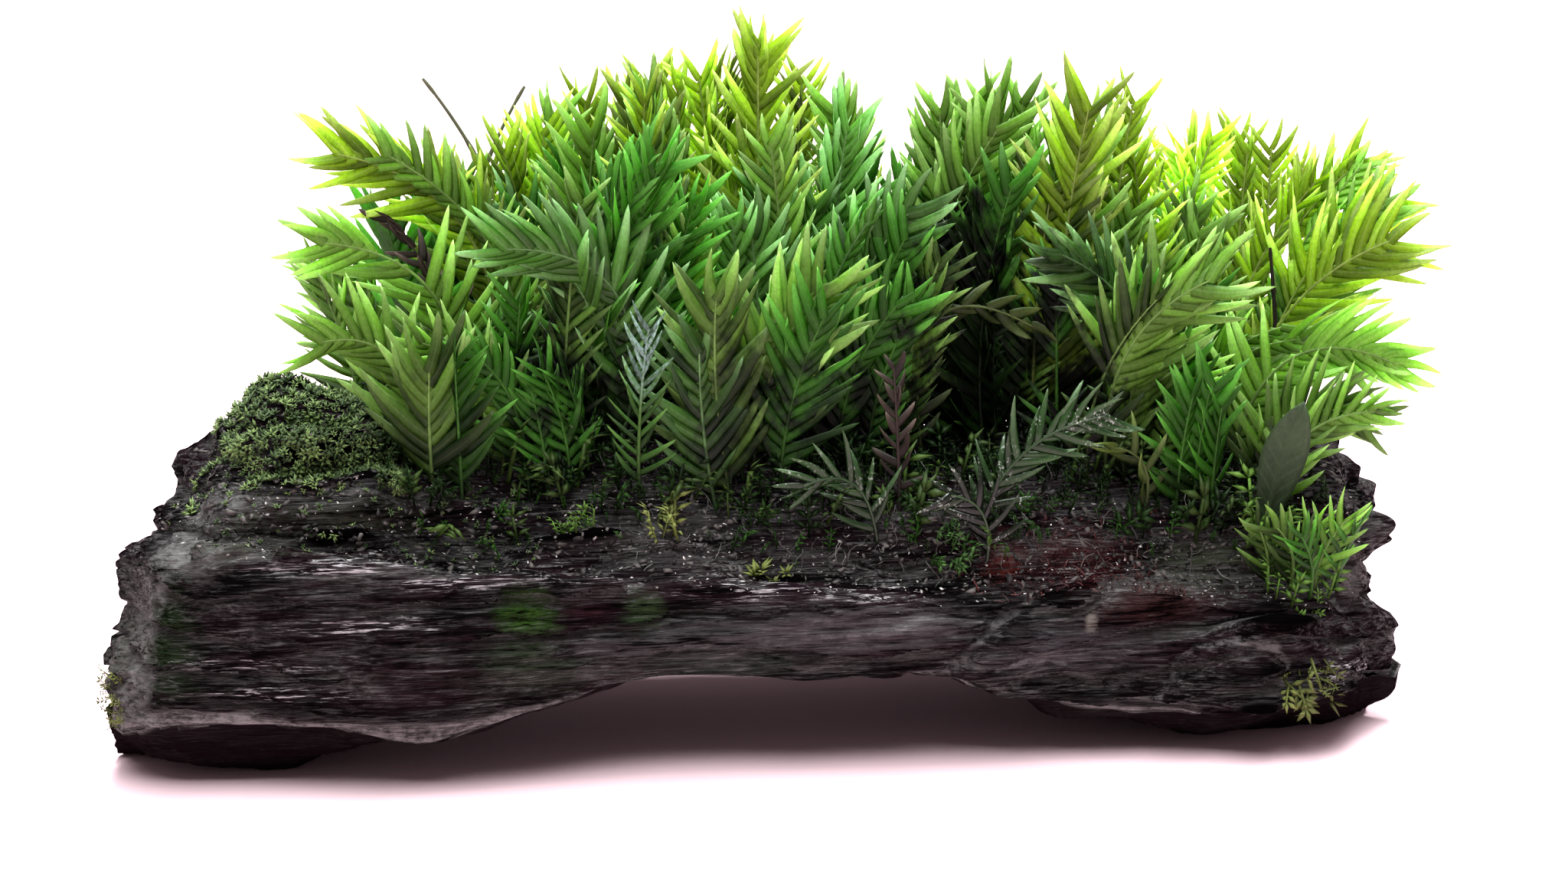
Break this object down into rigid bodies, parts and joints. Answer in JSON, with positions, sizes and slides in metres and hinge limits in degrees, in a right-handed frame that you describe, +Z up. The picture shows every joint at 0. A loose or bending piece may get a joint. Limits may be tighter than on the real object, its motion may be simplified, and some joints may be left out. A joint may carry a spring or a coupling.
{
  "type": "fissidens moss on driftwood",
  "caption": "Low arched piece of dark driftwood with feather-shaped aquarium moss fronds standing on its top, for a planted tank.",
  "frame": {"origin": "on the surface it rests on, under the middle of its bounding box", "axes": "+Z up, +X along the log to the right as seen from the front, +Y towards the back"},
  "size_m": [0.0725, 0.0257, 0.0389],
  "materials": {
    "bark": "wet, dark, fibrous weathered wood",
    "moss_bright": "thin bright green moss leaf",
    "moss_deep": "thin deep green moss leaf",
    "moss_blue": "thin blue-green moss leaf",
    "moss_yellow": "thin yellow-green young moss leaf",
    "moss_pale": "dry whitish moss leaf",
    "moss_wet": "wet grey-green moss leaf",
    "moss_olive": "olive ageing moss leaf and stalk",
    "moss_brown": "withered brown moss"
  },
  "bodies": {
    "root": {"driftwood": "bark", "oval_leaf": "moss_wet", "frond_left_front": "moss_bright", "frond_left_low": "moss_bright", "frond_left_middle": "moss_bright", "frond_left_high": "moss_yellow", "frond_midleft_arch": "moss_blue", "frond_centre_big": "moss_bright", "frond_centre_left": "moss_blue", "frond_right_front": "moss_bright", "frond_right_blue": "moss_blue", "frond_far_right_fan": "moss_yellow", "frond_far_right_arch": "moss_bright", "frond_far_right_low": "moss_bright", "frond_right_low_front": "moss_deep", "frond_right_low_arch": "moss_bright", "frond_centre_right": "moss_deep", "frond_midleft_low": "moss_bright", "frond_midleft_dark": "moss_deep", "frond_midleft_big": "moss_deep", "frond_midleft_back": "moss_blue", "frond_midleft_tall": "moss_deep", "frond_top_centre": "moss_yellow", "frond_centre_blue": "moss_blue", "frond_centre_right_blue": "moss_blue", "frond_centre_back": "moss_blue", "frond_right_arch_back": "moss_deep", "frond_right_inner": "moss_deep", "frond_right_tall": "moss_yellow", "frond_far_right_high": "moss_yellow", "frond_far_right_back": "moss_yellow", "frond_right_back": "moss_bright", "frond_yellow_left": "moss_yellow", "frond_yellow_middle": "moss_yellow", "frond_yellow_inner": "moss_yellow", "frond_top_left": "moss_yellow", "frond_top_right": "moss_yellow", "frond_right_tall_back": "moss_bright", "frond_thin_yellow_a": "moss_yellow", "frond_thin_yellow_b": "moss_yellow", "frond_thin_yellow_c": "moss_yellow", "frond_dry_upright": "moss_pale", "frond_olive_sprig": "moss_olive", "frond_withered_left": "moss_brown", "frond_withered_centre": "moss_brown", "frond_low_wet_left": "moss_wet", "frond_low_wet_right": "moss_wet", "frond_low_spiky": "moss_wet", "frond_low_curl": "moss_olive", "frond_rim_tuft_a": "moss_bright", "frond_rim_tuft_b": "moss_bright", "frond_back_left": "moss_bright", "frond_back_midleft": "moss_deep", "frond_back_centre": "moss_bright", "frond_back_centre_right": "moss_deep", "frond_back_right": "moss_bright", "frond_back_far_right": "moss_bright", "dry_stalk_a": "moss_olive", "dry_stalk_b": "moss_olive", "dark_stalk": "moss_brown"}
  },
  "joints": []
}
